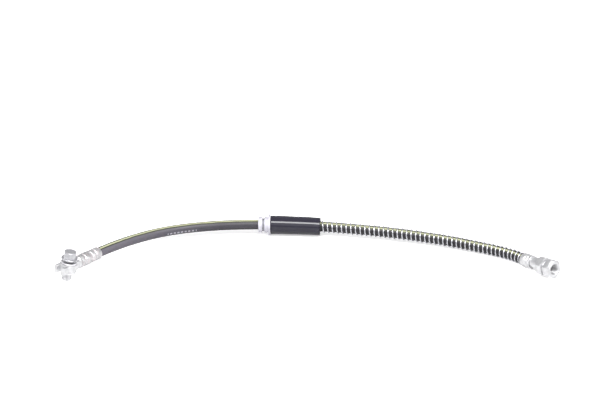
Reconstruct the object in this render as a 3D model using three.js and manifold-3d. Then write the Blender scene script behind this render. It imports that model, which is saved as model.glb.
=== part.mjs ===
// Brake hose: a banjo fitting with its hollow bolt at one end, a bracket ferrule and
// sleeve in the middle, a spring guard over the second half and a hexagonal female
// fitting at the other end. Millimetres, +Z up, lying on the plane z = 0.

import * as THREE from 'three';
import { mergeVertices } from 'three/addons/utils/BufferGeometryUtils.js';
import Module from 'manifold-3d';

const wasm = await Module();
wasm.setup();

// Clearance between pieces that touch on the real hose
const GAP = 0.3;
// How far a cutting shape runs past the end it cuts, and past the corners of a hexagon
const CUT_PAST = 1;
const CORNER_PAST = 0.1;
// Facets round a turned piece
const TURNED_SIDES = 28;

// Hose
const HOSE_RADIUS = 5.1;
const HOSE_BORE_RADIUS = 1.6;
const HOSE_SIDES = 12;
const HOSE_BORE_SIDES = 8;
const HOSE_STEPS = 54;

// The hose's centreline from the banjo end to the female end, as it lies
const ROUTE_POINTS = [
  [-232.234, -36.12, 13.96],
  [-216.264, -15.68, 12.15],
  [-211.044, -9, 11.55],
  [-203.914, -1.63, 11.3],
  [-192.614, 8.47, 11.2],
  [-180.214, 18.37, 11.1],
  [-161.814, 30.57, 11],
  [-143.514, 39.47, 10.95],
  [-125.114, 45.97, 10.9],
  [-106.714, 50.37, 10.9],
  [-88.414, 53.27, 10.9],
  [-70.014, 54.77, 10.9],
  [-54.714, 55.27, 10.9],
  [-49.814, 55.17, 10.9],
  [-37.314, 54.92, 10.9],
  [-32.714, 54.82, 10.9],
  [-16.714, 53.97, 10.8],
  [0.386, 52.77, 10.7],
  [14.386, 51.57, 10.45],
  [31.986, 49.47, 10.2],
  [56.486, 45.17, 10],
  [80.986, 40.07, 9.75],
  [105.386, 34.17, 9.4],
  [129.986, 26.92, 9],
  [150.386, 19.97, 8.5],
  [170.386, 12.27, 7.9],
  [190.386, 3.77, 7.3],
  [205.386, -4.43, 7.02],
  [212.686, -9.43, 6.93],
  [220.495, -16.433, 6.78],
  [229.095, -26.327, 8.32],
];

// Banjo fitting
const EYE_RADIUS = 9;
const EYE_THICKNESS = 8.5;
const EYE_EDGE = 0.6;
const NECK_WIDTH = 10.5;
const NECK_LENGTH = 14.5;
const FORK_REACH = 15.5;
const FORK_NOTCH_WIDTH = 5.5;
const FORK_NOTCH_FLOOR = 9;
const PRONG_WIDTH = 3.5;
const PRONG_CORNER = 0.9;
const HUB_RADIUS = 6.2;
const HUB_LENGTH = 1.2;
const STUB_RADIUS = 3.2;
const STEM_WALL = 0.5;
const PASSAGE_RADIUS = 0.75;
const BANJO_ROLL = 7;

// Ferrule crimped on the hose behind the banjo
const BANJO_FERRULE_LENGTH = 31.7;
const BANJO_FERRULE_WALL = 1.4;
const BANJO_FERRULE_STEP = 0.4;
const BANJO_CRIMPS = [5.9, 16.8, 23.4];
const BANJO_STEP_CRIMP = 1;
const FERRULE_END_WALL = 1.5;
const CRIMP_DEPTH = 0.5;
const CRIMP_WIDTH = 1.8;
const FERRULE_EDGE = 0.5;

// Banjo bolt and washers
const BOLT_RADIUS = 4.9;
const BOLT_SHANK = 23.5;
const BOLT_TIP_CHAMFER = 1;
const BOLT_BORE_RADIUS = 2;
const BOLT_PORT_RADIUS = 1.4;
const BOLT_FLANGE_RADIUS = 8.5;
const BOLT_FLANGE_THICKNESS = 1.5;
const BOLT_FLANGE_EDGE = 0.4;
const BOLT_HEX_FLATS = 12;
const BOLT_HEX_HEIGHT = 7;
const BOLT_HEX_CHAMFER = 0.4;
const BOLT_HEX_TURN = 22;
const BOLT_LIFT = 2.75;
const WASHER_RADIUS = 8.3;
const WASHER_THICKNESS = 1.5;
const WASHER_EDGE = 0.2;

// Bracket ferrule, sleeve and spring guard, placed by their distance along the hose
const BRACKET_PLACE = 213.7;
const RING_RADIUS = 8;
const RING_LENGTH = 4;
const RING_EDGE = 0.5;
const BRACKET_GROOVE_RADIUS = 6.6;
const BRACKET_GROOVE_WIDTH = 2.2;
const FLANGE_RADIUS = 10.9;
const FLANGE_THICKNESS = 2;
const SLEEVE_LENGTH = 51;
const SLEEVE_RADIUS = 9.5;
const SLEEVE_TAPER = 0.4;
const SLEEVE_EDGE = 0.6;
const SLEEVE_RINGS = 5;
const GUARD_TURNS = 45;
const GUARD_WIRE_RADIUS = 0.62;
const GUARD_WIRE_SIDES = 5;
const GUARD_STEPS_PER_TURN = 12;
const GUARD_CLEARANCE = 0.2;

// Female end fitting and its ferrule
const END_FERRULE_LENGTH = 14;
const END_FERRULE_WALL = 1.5;
const END_CRIMPS = [7, 10.8];
const END_NECK_RADIUS = 5.8;
const END_NECK_LENGTH = 11.4;
const END_COLLAR_RADIUS = 6.8;
const END_COLLAR_LENGTH = 4.5;
const END_HEX_FLATS = 17.5;
const END_HEX_TURN = 7.5;
const REAR_HEX_LENGTH = 9.7;
const CLIP_GROOVE_RADIUS = 7.2;
const CLIP_GROOVE_WIDTH = 2.5;
const FRONT_HEX_LENGTH = 8.3;
const HEX_CHAMFER = 1;
const NOSE_RADIUS = 7.4;
const NOSE_LENGTH = 0.6;
const NOSE_CHAMFER = 0.3;
const PORT_RADIUS = 4.5;
const PORT_DEPTH = 9.5;
const PORT_COUNTERSINK = 1.2;
const PORT_SEAT_DEPTH = 2.2;

const route = new THREE.CatmullRomCurve3(
  ROUTE_POINTS.map((point) => new THREE.Vector3(...point)),
  false,
  'catmullrom',
  0.5,
);
const HOSE_LENGTH = route.getLength();

// What the ferrules' bores, the stems and the guard leave for the hose
const FERRULE_BORE = HOSE_RADIUS + GAP;
const STEM_RADIUS = PASSAGE_RADIUS + STEM_WALL;

function steel(colour, roughness) {
  return new THREE.MeshStandardMaterial({ color: colour, roughness, metalness: 1 });
}

function polymer(colour, roughness) {
  return new THREE.MeshStandardMaterial({ color: colour, roughness, metalness: 0 });
}

const zincPlate = steel(0xd9dade, 0.3);
const boltSteel = steel(0xc6c7cf, 0.28);
const washerAlloy = steel(0xe2e3e6, 0.35);
const springWire = steel(0xe4e5ea, 0.22);
const blackRubber = polymer(0x1c1b1e, 0.6);
const glossSleeve = polymer(0x17161b, 0.25);

function named(name, geometry, material) {
  const mesh = new THREE.Mesh(geometry, material.clone());
  mesh.name = name;
  return mesh;
}

// A boolean needs a mesh that holds positions only, with its shared corners merged
function asSolid(geometry) {
  const bare = geometry.clone();
  bare.deleteAttribute('normal');
  bare.deleteAttribute('uv');
  const merged = mergeVertices(bare, 1e-4);
  return new wasm.Manifold(new wasm.Mesh({
    numProp: 3,
    vertProperties: new Float32Array(merged.attributes.position.array),
    triVerts: new Uint32Array(merged.index.array),
  }));
}

function asGeometry(solid) {
  const mesh = solid.getMesh();
  const geometry = new THREE.BufferGeometry();
  geometry.setAttribute('position', new THREE.BufferAttribute(new Float32Array(mesh.vertProperties), 3));
  geometry.setIndex(new THREE.BufferAttribute(new Uint32Array(mesh.triVerts), 1));
  geometry.computeVertexNormals();
  return geometry;
}

// Turns a closed profile of [radius, distance] points about the X axis
function turned(profile, sides = TURNED_SIDES) {
  const points = profile.map(([radius, along]) => new THREE.Vector2(radius, along));
  const onAxis = profile[0][0] === 0 && profile[profile.length - 1][0] === 0;
  if (!onAxis) {
    points.push(points[0].clone());
  }
  return new THREE.LatheGeometry(points, sides).rotateZ(-Math.PI / 2);
}

// A hexagonal bar along the X axis, with one corner turned by an angle from straight up
function hexBar(flats, from, to, turn = 0) {
  const bar = new THREE.CylinderGeometry(flats / Math.sqrt(3), flats / Math.sqrt(3), to - from, 6);
  bar.rotateZ(-Math.PI / 2);
  bar.rotateX(turn);
  return bar.translate((from + to) / 2, 0, 0);
}

// A round rod along the X axis
function rod(radius, from, to, sides) {
  return turned([[0, from], [radius, from], [radius, to], [0, to]], sides);
}

// A group whose +X runs along a direction and whose +Z leans from straight up by a roll
function placedGroup(origin, direction, roll = 0) {
  const along = direction.clone().normalize();
  const side = new THREE.Vector3(0, 0, 1).cross(along).normalize();
  const up = along.clone().cross(side);
  const place = new THREE.Group();
  place.quaternion.setFromRotationMatrix(new THREE.Matrix4().makeBasis(along, side, up));
  place.rotateX(roll);
  place.position.copy(origin);
  return place;
}

function routePoint(distance) {
  return route.getPointAt(distance / HOSE_LENGTH);
}

function routeDirection(distance) {
  return route.getTangentAt(distance / HOSE_LENGTH);
}

// The side and up directions of the hose at a distance along it
function routeFrame(distance) {
  const along = routeDirection(distance);
  const side = new THREE.Vector3(0, 0, 1).cross(along).normalize();
  return { origin: routePoint(distance), side, up: along.clone().cross(side) };
}

// Bends a piece made along +X so that it follows the hose from a distance along it
function bentAlongRoute(geometry, start) {
  const position = geometry.attributes.position;
  for (let i = 0; i < position.count; i += 1) {
    const frame = routeFrame(start + position.getX(i));
    const point = frame.origin
      .addScaledVector(frame.side, position.getY(i))
      .addScaledVector(frame.up, position.getZ(i));
    position.setXYZ(i, point.x, point.y, point.z);
  }
  geometry.computeVertexNormals();
  return geometry;
}

// Points of a regular outline, for sections that are swept along a path
function roundOutline(radius, sides, target) {
  for (let i = 0; i < sides; i += 1) {
    const angle = (2 * Math.PI * i) / sides;
    const x = radius * Math.cos(angle);
    const y = radius * Math.sin(angle);
    if (i === 0) {
      target.moveTo(x, y);
    } else {
      target.lineTo(x, y);
    }
  }
  target.closePath();
  return target;
}

// The outer side of a crimped ferrule: a groove at each crimp, and an optional step down at one of them
function crimpedSide(radius, crimps, stepCrimp = -1, stepDown = 0) {
  const side = [];
  let level = radius;
  crimps.forEach((place, number) => {
    const floor = level - CRIMP_DEPTH;
    side.push([level, place - CRIMP_WIDTH / 2], [floor, place - CRIMP_WIDTH / 4]);
    if (number === stepCrimp) {
      level -= stepDown;
    }
    side.push([level - CRIMP_DEPTH, place + CRIMP_WIDTH / 4], [level, place + CRIMP_WIDTH / 2]);
  });
  return { side, level };
}

// A ferrule's closed profile from its end wall at 0 to its open mouth, which the hose leaves
function ferruleProfile(length, wall, crimps, stepCrimp, stepDown) {
  const outer = FERRULE_BORE + wall;
  const { side, level } = crimpedSide(outer, crimps, stepCrimp, stepDown);
  return [
    [STUB_RADIUS + GAP, 0],
    [outer - FERRULE_EDGE, 0],
    [outer, FERRULE_EDGE],
    ...side,
    [level, length - FERRULE_EDGE],
    [level - FERRULE_EDGE, length],
    [FERRULE_BORE, length],
    [FERRULE_BORE, FERRULE_END_WALL],
    [STUB_RADIUS + GAP, FERRULE_END_WALL],
  ];
}

// The same profile run the other way, for a ferrule whose mouth faces back along X
function mirrored(profile) {
  return profile.map(([radius, along]) => [radius, -along]).reverse();
}

function hose() {
  const section = roundOutline(HOSE_RADIUS, HOSE_SIDES, new THREE.Shape());
  section.holes.push(roundOutline(HOSE_BORE_RADIUS, HOSE_BORE_SIDES, new THREE.Path()));
  const geometry = new THREE.ExtrudeGeometry(section, { steps: HOSE_STEPS, extrudePath: route });
  return named('hose', geometry, blackRubber);
}

// Where the hose starts inside the banjo's ferrule, measured from the eye's centre
const BANJO_FERRULE_START = NECK_LENGTH + HUB_LENGTH + GAP;
const EYE_TO_HOSE = BANJO_FERRULE_START + FERRULE_END_WALL + GAP;
const EYE_BORE = BOLT_RADIUS + GAP;

// The forged outline from above: round eye, straight neck and a two-pronged fork
function banjoOutline() {
  const neck = NECK_WIDTH / 2;
  const inner = FORK_NOTCH_WIDTH / 2;
  const outer = inner + PRONG_WIDTH;
  const outline = new THREE.Shape();
  outline.moveTo(NECK_LENGTH, -neck);
  outline.lineTo(NECK_LENGTH, neck);
  outline.absarc(0, 0, EYE_RADIUS, Math.asin(neck / EYE_RADIUS), Math.PI - Math.asin(outer / EYE_RADIUS), false);
  outline.lineTo(-FORK_REACH + PRONG_CORNER, outer);
  outline.absarc(-FORK_REACH + PRONG_CORNER, outer - PRONG_CORNER, PRONG_CORNER, Math.PI / 2, Math.PI, false);
  outline.lineTo(-FORK_REACH, inner);
  outline.lineTo(-FORK_NOTCH_FLOOR, inner);
  outline.lineTo(-FORK_NOTCH_FLOOR, -inner);
  outline.lineTo(-FORK_REACH, -inner);
  outline.absarc(-FORK_REACH + PRONG_CORNER, PRONG_CORNER - outer, PRONG_CORNER, Math.PI, 1.5 * Math.PI, false);
  outline.absarc(0, 0, EYE_RADIUS, Math.PI + Math.asin(outer / EYE_RADIUS), -Math.asin(neck / EYE_RADIUS), false);
  outline.closePath();
  return outline;
}

function banjoFitting() {
  const blank = new THREE.ExtrudeGeometry(banjoOutline(), {
    depth: EYE_THICKNESS - 2 * EYE_EDGE,
    bevelThickness: EYE_EDGE,
    bevelSize: EYE_EDGE,
    bevelOffset: -EYE_EDGE,
    bevelSegments: 1,
    curveSegments: 8,
  }).translate(0, 0, EYE_EDGE - EYE_THICKNESS / 2);
  const hubStart = NECK_LENGTH - EYE_EDGE;
  const hubEnd = NECK_LENGTH + HUB_LENGTH;
  const shank = turned([
    [0, hubStart],
    [HUB_RADIUS - EYE_EDGE, hubStart],
    [HUB_RADIUS, NECK_LENGTH],
    [HUB_RADIUS, hubEnd],
    [STUB_RADIUS, hubEnd],
    [STUB_RADIUS, EYE_TO_HOSE],
    [STEM_RADIUS, EYE_TO_HOSE],
    [STEM_RADIUS, BANJO_FERRULE_START + BANJO_FERRULE_LENGTH],
    [0, BANJO_FERRULE_START + BANJO_FERRULE_LENGTH],
  ]);
  const eyeBore = turned([
    [0, -EYE_THICKNESS],
    [EYE_BORE, -EYE_THICKNESS],
    [EYE_BORE, EYE_THICKNESS],
    [0, EYE_THICKNESS],
  ]).rotateY(Math.PI / 2);
  const passage = rod(PASSAGE_RADIUS, 0, BANJO_FERRULE_START + BANJO_FERRULE_LENGTH + CUT_PAST, HOSE_BORE_SIDES);
  const body = asSolid(blank).add(asSolid(shank)).subtract(asSolid(eyeBore)).subtract(asSolid(passage));
  return named('banjo_fitting', asGeometry(body), zincPlate);
}

function banjoFerrule() {
  const profile = ferruleProfile(
    BANJO_FERRULE_LENGTH, BANJO_FERRULE_WALL, BANJO_CRIMPS, BANJO_STEP_CRIMP, BANJO_FERRULE_STEP,
  );
  const mesh = named('banjo_ferrule', turned(profile), zincPlate);
  mesh.position.x = BANJO_FERRULE_START;
  return mesh;
}

// How far the seat of the bolt's flange lies above the eye's centre
const UPPER_WASHER_SEAT = EYE_THICKNESS / 2 + GAP;
const BOLT_SEAT = UPPER_WASHER_SEAT + WASHER_THICKNESS + BOLT_LIFT;

// Built along +X from the flange's seat: the head lies at negative X and the shank at positive X
function banjoBolt() {
  const headTop = -BOLT_FLANGE_THICKNESS - BOLT_HEX_HEIGHT;
  const corner = BOLT_HEX_FLATS / Math.sqrt(3);
  const chamferFlat = BOLT_HEX_FLATS / 2 - BOLT_HEX_CHAMFER;
  const envelope = corner + CORNER_PAST;
  const headEnvelope = turned([
    [0, headTop],
    [chamferFlat, headTop],
    [envelope, headTop + (envelope - chamferFlat) * Math.tan(Math.PI / 6)],
    [envelope, -BOLT_FLANGE_THICKNESS / 2],
    [0, -BOLT_FLANGE_THICKNESS / 2],
  ]);
  const hex = hexBar(BOLT_HEX_FLATS, headTop - CUT_PAST, 0, THREE.MathUtils.degToRad(BOLT_HEX_TURN));
  const body = turned([
    [0, -BOLT_FLANGE_THICKNESS],
    [BOLT_FLANGE_RADIUS - BOLT_FLANGE_EDGE, -BOLT_FLANGE_THICKNESS],
    [BOLT_FLANGE_RADIUS, BOLT_FLANGE_EDGE - BOLT_FLANGE_THICKNESS],
    [BOLT_FLANGE_RADIUS, 0],
    [BOLT_RADIUS, 0],
    [BOLT_RADIUS, BOLT_SHANK - BOLT_TIP_CHAMFER],
    [BOLT_RADIUS - BOLT_TIP_CHAMFER, BOLT_SHANK],
    [0, BOLT_SHANK],
  ]);
  const portPlace = BOLT_SEAT;
  const bore = rod(BOLT_BORE_RADIUS, portPlace - BOLT_PORT_RADIUS, BOLT_SHANK + CUT_PAST, 16);
  const port = rod(BOLT_PORT_RADIUS, -BOLT_RADIUS - CUT_PAST, BOLT_RADIUS + CUT_PAST, 12)
    .rotateY(Math.PI / 2)
    .translate(portPlace, 0, 0);
  const solid = asSolid(headEnvelope)
    .intersect(asSolid(hex))
    .add(asSolid(body))
    .subtract(asSolid(bore))
    .subtract(asSolid(port));
  const mesh = named('banjo_bolt', asGeometry(solid), boltSteel);
  mesh.rotation.y = Math.PI / 2;
  mesh.position.z = BOLT_SEAT;
  return mesh;
}

function washer(name, height) {
  const profile = [
    [EYE_BORE, 0],
    [WASHER_RADIUS - WASHER_EDGE, 0],
    [WASHER_RADIUS, WASHER_EDGE],
    [WASHER_RADIUS, WASHER_THICKNESS - WASHER_EDGE],
    [WASHER_RADIUS - WASHER_EDGE, WASHER_THICKNESS],
    [EYE_BORE, WASHER_THICKNESS],
  ];
  const mesh = named(name, turned(profile), washerAlloy);
  mesh.rotation.y = -Math.PI / 2;
  mesh.position.z = height;
  return mesh;
}

function banjoEnd() {
  const direction = routeDirection(0);
  const eyeCentre = routePoint(0).addScaledVector(direction, -EYE_TO_HOSE);
  const place = placedGroup(eyeCentre, direction, THREE.MathUtils.degToRad(BANJO_ROLL));
  place.add(banjoFitting());
  place.add(banjoFerrule());
  place.add(banjoBolt());
  place.add(washer('upper_washer', UPPER_WASHER_SEAT));
  place.add(washer('lower_washer', -UPPER_WASHER_SEAT - WASHER_THICKNESS));
  return place;
}

const BRACKET_LENGTH = 2 * RING_LENGTH + BRACKET_GROOVE_WIDTH + FLANGE_THICKNESS;
const SLEEVE_PLACE = BRACKET_PLACE + BRACKET_LENGTH + GAP;
const GUARD_START = SLEEVE_PLACE + SLEEVE_LENGTH + GAP;
const END_FERRULE_OVERLAP = END_FERRULE_LENGTH - FERRULE_END_WALL - GAP;
const GUARD_END = HOSE_LENGTH - END_FERRULE_OVERLAP - GAP;

// Two rings with the bracket clip's groove between them, and the wide flange against the bracket
function bracketFerrule() {
  const grooveStart = RING_LENGTH;
  const grooveEnd = grooveStart + BRACKET_GROOVE_WIDTH;
  const flangeStart = grooveEnd + RING_LENGTH;
  const profile = [
    [FERRULE_BORE, 0],
    [RING_RADIUS - RING_EDGE, 0],
    [RING_RADIUS, RING_EDGE],
    [RING_RADIUS, grooveStart - RING_EDGE],
    [RING_RADIUS - RING_EDGE, grooveStart],
    [BRACKET_GROOVE_RADIUS, grooveStart],
    [BRACKET_GROOVE_RADIUS, grooveEnd],
    [RING_RADIUS - RING_EDGE, grooveEnd],
    [RING_RADIUS, grooveEnd + RING_EDGE],
    [RING_RADIUS, flangeStart],
    [FLANGE_RADIUS, flangeStart],
    [FLANGE_RADIUS, BRACKET_LENGTH],
    [FERRULE_BORE, BRACKET_LENGTH],
  ];
  const end = BRACKET_PLACE + BRACKET_LENGTH;
  const place = placedGroup(routePoint(end), routeDirection(end));
  const mesh = named('bracket_ferrule', turned(profile), zincPlate);
  mesh.position.x = -BRACKET_LENGTH;
  place.add(mesh);
  return place;
}

// The sleeve follows the hose's bend, so its long sides carry rings of their own
function sleeve() {
  const outer = [];
  const inner = [];
  for (let i = 0; i <= SLEEVE_RINGS; i += 1) {
    const share = i / SLEEVE_RINGS;
    const along = SLEEVE_EDGE + share * (SLEEVE_LENGTH - 2 * SLEEVE_EDGE);
    outer.push([SLEEVE_RADIUS - SLEEVE_TAPER * share, along]);
    inner.unshift([FERRULE_BORE, share * SLEEVE_LENGTH]);
  }
  const profile = [
    [SLEEVE_RADIUS - SLEEVE_EDGE, 0],
    ...outer,
    [SLEEVE_RADIUS - SLEEVE_TAPER - SLEEVE_EDGE, SLEEVE_LENGTH],
    ...inner,
  ];
  return named('sleeve', bentAlongRoute(turned(profile), SLEEVE_PLACE), glossSleeve);
}

// The guard's wire: a right-handed helix round the hose's centreline
class GuardWire extends THREE.Curve {
  getPoint(share, target = new THREE.Vector3()) {
    const from = GUARD_START + GUARD_WIRE_RADIUS;
    const to = GUARD_END - GUARD_WIRE_RADIUS;
    const frame = routeFrame(from + share * (to - from));
    const radius = HOSE_RADIUS + GUARD_CLEARANCE + GUARD_WIRE_RADIUS;
    const swing = radius / Math.cos(Math.PI / GUARD_STEPS_PER_TURN);
    const angle = 2 * Math.PI * GUARD_TURNS * share;
    return target.copy(frame.origin)
      .addScaledVector(frame.side, swing * Math.cos(angle))
      .addScaledVector(frame.up, swing * Math.sin(angle));
  }
}

function springGuard() {
  const wire = new GuardWire();
  const steps = GUARD_TURNS * GUARD_STEPS_PER_TURN;
  wire.arcLengthDivisions = steps;
  const section = roundOutline(GUARD_WIRE_RADIUS, GUARD_WIRE_SIDES, new THREE.Shape());
  return named('spring_guard', new THREE.ExtrudeGeometry(section, { steps, extrudePath: wire }), springWire);
}

// The rest of the fitting, measured from the hose's end along +X
function endFitting() {
  const corner = END_HEX_FLATS / Math.sqrt(3);
  const envelope = corner + CORNER_PAST;
  const chamferStart = END_HEX_FLATS / 2 - HEX_CHAMFER;
  const chamferRun = (envelope - chamferStart) * Math.tan(Math.PI / 6);
  const neckStart = GAP + FERRULE_END_WALL + GAP;
  const rearHex = neckStart + END_NECK_LENGTH;
  const collar = rearHex - END_COLLAR_LENGTH;
  const groove = rearHex + REAR_HEX_LENGTH;
  const frontHex = groove + CLIP_GROOVE_WIDTH;
  const nose = frontHex + FRONT_HEX_LENGTH;
  const mouth = nose + NOSE_LENGTH;
  const seat = mouth - PORT_DEPTH;
  const envelopeProfile = [
    [PASSAGE_RADIUS, -END_FERRULE_OVERLAP],
    [STEM_RADIUS, -END_FERRULE_OVERLAP],
    [STEM_RADIUS, 0],
    [STUB_RADIUS, 0],
    [STUB_RADIUS, neckStart],
    [END_NECK_RADIUS, neckStart],
    [END_NECK_RADIUS, collar],
    [END_COLLAR_RADIUS, collar],
    [END_COLLAR_RADIUS, rearHex],
    [chamferStart, rearHex],
    [envelope, rearHex + chamferRun],
    [envelope, groove],
    [CLIP_GROOVE_RADIUS, groove],
    [CLIP_GROOVE_RADIUS, frontHex],
    [envelope, frontHex],
    [envelope, nose - chamferRun],
    [chamferStart, nose],
    [NOSE_RADIUS, nose],
    [NOSE_RADIUS, mouth - NOSE_CHAMFER],
    [NOSE_RADIUS - NOSE_CHAMFER, mouth],
    [PORT_RADIUS + PORT_COUNTERSINK, mouth],
    [PORT_RADIUS, mouth - PORT_COUNTERSINK],
    [PORT_RADIUS, seat],
    [PASSAGE_RADIUS, seat - PORT_SEAT_DEPTH],
  ];
  const bar = hexBar(
    END_HEX_FLATS, -END_FERRULE_LENGTH, mouth + CUT_PAST, THREE.MathUtils.degToRad(END_HEX_TURN),
  );
  const solid = asSolid(turned(envelopeProfile)).intersect(asSolid(bar));
  return named('end_fitting', asGeometry(solid), zincPlate);
}

function endFerrule() {
  const places = END_CRIMPS.map((place) => END_FERRULE_LENGTH - place).reverse();
  const profile = mirrored(ferruleProfile(END_FERRULE_LENGTH, END_FERRULE_WALL, places));
  const mesh = named('end_ferrule', turned(profile), zincPlate);
  mesh.position.x = GAP + FERRULE_END_WALL;
  return mesh;
}

function femaleEnd() {
  const place = placedGroup(routePoint(HOSE_LENGTH), routeDirection(HOSE_LENGTH));
  place.add(endFerrule());
  place.add(endFitting());
  return place;
}

const brakeHose = new THREE.Group();
brakeHose.add(hose());
brakeHose.add(banjoEnd());
brakeHose.add(bracketFerrule());
brakeHose.add(sleeve());
brakeHose.add(springGuard());
brakeHose.add(femaleEnd());

export default brakeHose;
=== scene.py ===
"""A brake hose lying on a white surface, dressed over its CAD model."""

import math

import bmesh
import bpy
from mathutils import Matrix, Vector


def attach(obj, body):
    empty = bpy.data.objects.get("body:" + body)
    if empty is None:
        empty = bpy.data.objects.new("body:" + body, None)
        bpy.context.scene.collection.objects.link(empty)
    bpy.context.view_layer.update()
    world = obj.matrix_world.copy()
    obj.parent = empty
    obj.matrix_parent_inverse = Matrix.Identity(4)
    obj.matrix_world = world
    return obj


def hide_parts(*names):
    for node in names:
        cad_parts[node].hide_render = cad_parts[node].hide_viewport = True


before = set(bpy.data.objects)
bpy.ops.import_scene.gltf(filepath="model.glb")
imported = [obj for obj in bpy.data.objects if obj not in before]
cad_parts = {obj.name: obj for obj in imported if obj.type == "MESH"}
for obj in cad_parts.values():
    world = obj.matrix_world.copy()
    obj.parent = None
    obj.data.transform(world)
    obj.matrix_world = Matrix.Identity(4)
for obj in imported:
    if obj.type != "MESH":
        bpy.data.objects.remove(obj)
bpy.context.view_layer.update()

MM = 0.001

# Clearance that the solids keep where the real pieces touch
GAP = 0.3 * MM

# The hose, and its centreline from the banjo end to the female end
HOSE_RADIUS = 5.1 * MM
HOSE_BORE_RADIUS = 1.6 * MM
ROUTE_POINTS = [
    (-0.232234, -0.03612, 0.01396),
    (-0.216264, -0.01568, 0.01215),
    (-0.211044, -0.009, 0.01155),
    (-0.203914, -0.00163, 0.0113),
    (-0.192614, 0.00847, 0.0112),
    (-0.180214, 0.01837, 0.0111),
    (-0.161814, 0.03057, 0.011),
    (-0.143514, 0.03947, 0.01095),
    (-0.125114, 0.04597, 0.0109),
    (-0.106714, 0.05037, 0.0109),
    (-0.088414, 0.05327, 0.0109),
    (-0.070014, 0.05477, 0.0109),
    (-0.054714, 0.05527, 0.0109),
    (-0.049814, 0.05517, 0.0109),
    (-0.037314, 0.05492, 0.0109),
    (-0.032714, 0.05482, 0.0109),
    (-0.016714, 0.05397, 0.0108),
    (0.000386, 0.05277, 0.0107),
    (0.014386, 0.05157, 0.01045),
    (0.031986, 0.04947, 0.0102),
    (0.056486, 0.04517, 0.01),
    (0.080986, 0.04007, 0.00975),
    (0.105386, 0.03417, 0.0094),
    (0.129986, 0.02692, 0.009),
    (0.150386, 0.01997, 0.0085),
    (0.170386, 0.01227, 0.0079),
    (0.190386, 0.00377, 0.0073),
    (0.205386, -0.00443, 0.00702),
    (0.212686, -0.00943, 0.00693),
    (0.220495, -0.016433, 0.00678),
    (0.229095, -0.026327, 0.00832),
]
ROUTE_SAMPLES_PER_SPAN = 24

# Banjo fitting
EYE_RADIUS = 9 * MM
EYE_THICKNESS = 8.5 * MM
NECK_WIDTH = 10.5 * MM
NECK_LENGTH = 14.5 * MM
FORK_REACH = 15.5 * MM
FORK_NOTCH_WIDTH = 5.5 * MM
FORK_NOTCH_FLOOR = 9 * MM
PRONG_WIDTH = 3.5 * MM
HUB_RADIUS = 6.2 * MM
HUB_LENGTH = 1.2 * MM
STUB_RADIUS = 3.2 * MM
STEM_RADIUS = 1.25 * MM
PASSAGE_RADIUS = 0.75 * MM
FORGED_EDGE = 0.7 * MM
PRONG_CORNER = 0.9 * MM
EYE_BORE_LEAD = 0.5 * MM
HUB_CONE_LENGTH = 2 * MM
HUB_CONE_DROP = 1.6 * MM
HUB_ROUNDING = 0.2 * MM
BANJO_ROLL = math.radians(7)

# Ferrules crimped on the hose
BANJO_FERRULE_LENGTH = 31.7 * MM
BANJO_FERRULE_WALL = 1.4 * MM
BANJO_FERRULE_STEP = 0.4 * MM
BANJO_CRIMPS = (5.9 * MM, 16.8 * MM, 23.4 * MM)
END_FERRULE_LENGTH = 14 * MM
END_FERRULE_WALL = 1.5 * MM
END_CRIMPS = (3.2 * MM, 7 * MM)
FERRULE_END_WALL = 1.5 * MM
FERRULE_BORE = HOSE_RADIUS + GAP
CRIMP_DEPTH = 0.5 * MM
CRIMP_WIDTH = 1.8 * MM
CRIMP_JAWS = 8
JAW_MARK_DEPTH = 0.16 * MM
FERRULE_ROUNDING = 0.45 * MM

# Banjo bolt and washers
BOLT_RADIUS = 4.9 * MM
BOLT_SHANK = 23.5 * MM
BOLT_THREAD_START = 5.5 * MM
BOLT_TIP_CHAMFER = 1 * MM
BOLT_BORE_RADIUS = 2 * MM
BOLT_PORT_RADIUS = 1.4 * MM
BOLT_FLANGE_RADIUS = 8.5 * MM
BOLT_FLANGE_THICKNESS = 1.5 * MM
BOLT_FLANGE_CONE_WIDTH = 1.2 * MM
BOLT_FLANGE_CONE_HEIGHT = 0.5 * MM
BOLT_FLANGE_ROUNDING = 0.25 * MM
BOLT_HEX_FLATS = 12 * MM
BOLT_HEX_HEIGHT = 7 * MM
BOLT_HEX_TURN = math.radians(22)
BOLT_HEX_CHAMFER = 0.35 * MM
BOLT_DISH_DEPTH = 0.35 * MM
BOLT_DISH_RIM = 1.0 * MM
BOLT_DISH_FLOOR_INSET = 1.6 * MM
BOLT_HEAD_ROUNDING = 0.12 * MM
BOLT_HEAD_EDGE = 0.2 * MM
BOLT_LIFT = 2.75 * MM
THREAD_PITCH = 1 * MM
THREAD_DEPTH = 0.55 * MM
WASHER_RADIUS = 8.3 * MM
WASHER_THICKNESS = 1.5 * MM
WASHER_ROUNDING = 0.35 * MM
EYE_BORE = BOLT_RADIUS + GAP
# How far a turned envelope stands past the corners of the hexagon that cuts it
HEX_SPARE = 0.1 * MM

# Bracket ferrule, sleeve and spring guard
BRACKET_PLACE = 213.7 * MM
RING_RADIUS = 8 * MM
RING_LENGTH = 4 * MM
BRACKET_GROOVE_RADIUS = 6.6 * MM
BRACKET_GROOVE_WIDTH = 2.2 * MM
FLANGE_RADIUS = 10.9 * MM
FLANGE_THICKNESS = 2 * MM
SLEEVE_LENGTH = 51 * MM
SLEEVE_RADIUS = 9.5 * MM
SLEEVE_TAPER = 0.4 * MM
SLEEVE_LIP = 1.2 * MM
SLEEVE_ROUNDING = 0.6 * MM
GUARD_TURNS = 45
GUARD_WIRE_RADIUS = 0.62 * MM
GUARD_WIRE_SIDES = 12
GUARD_STEPS_PER_TURN = 40

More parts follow.
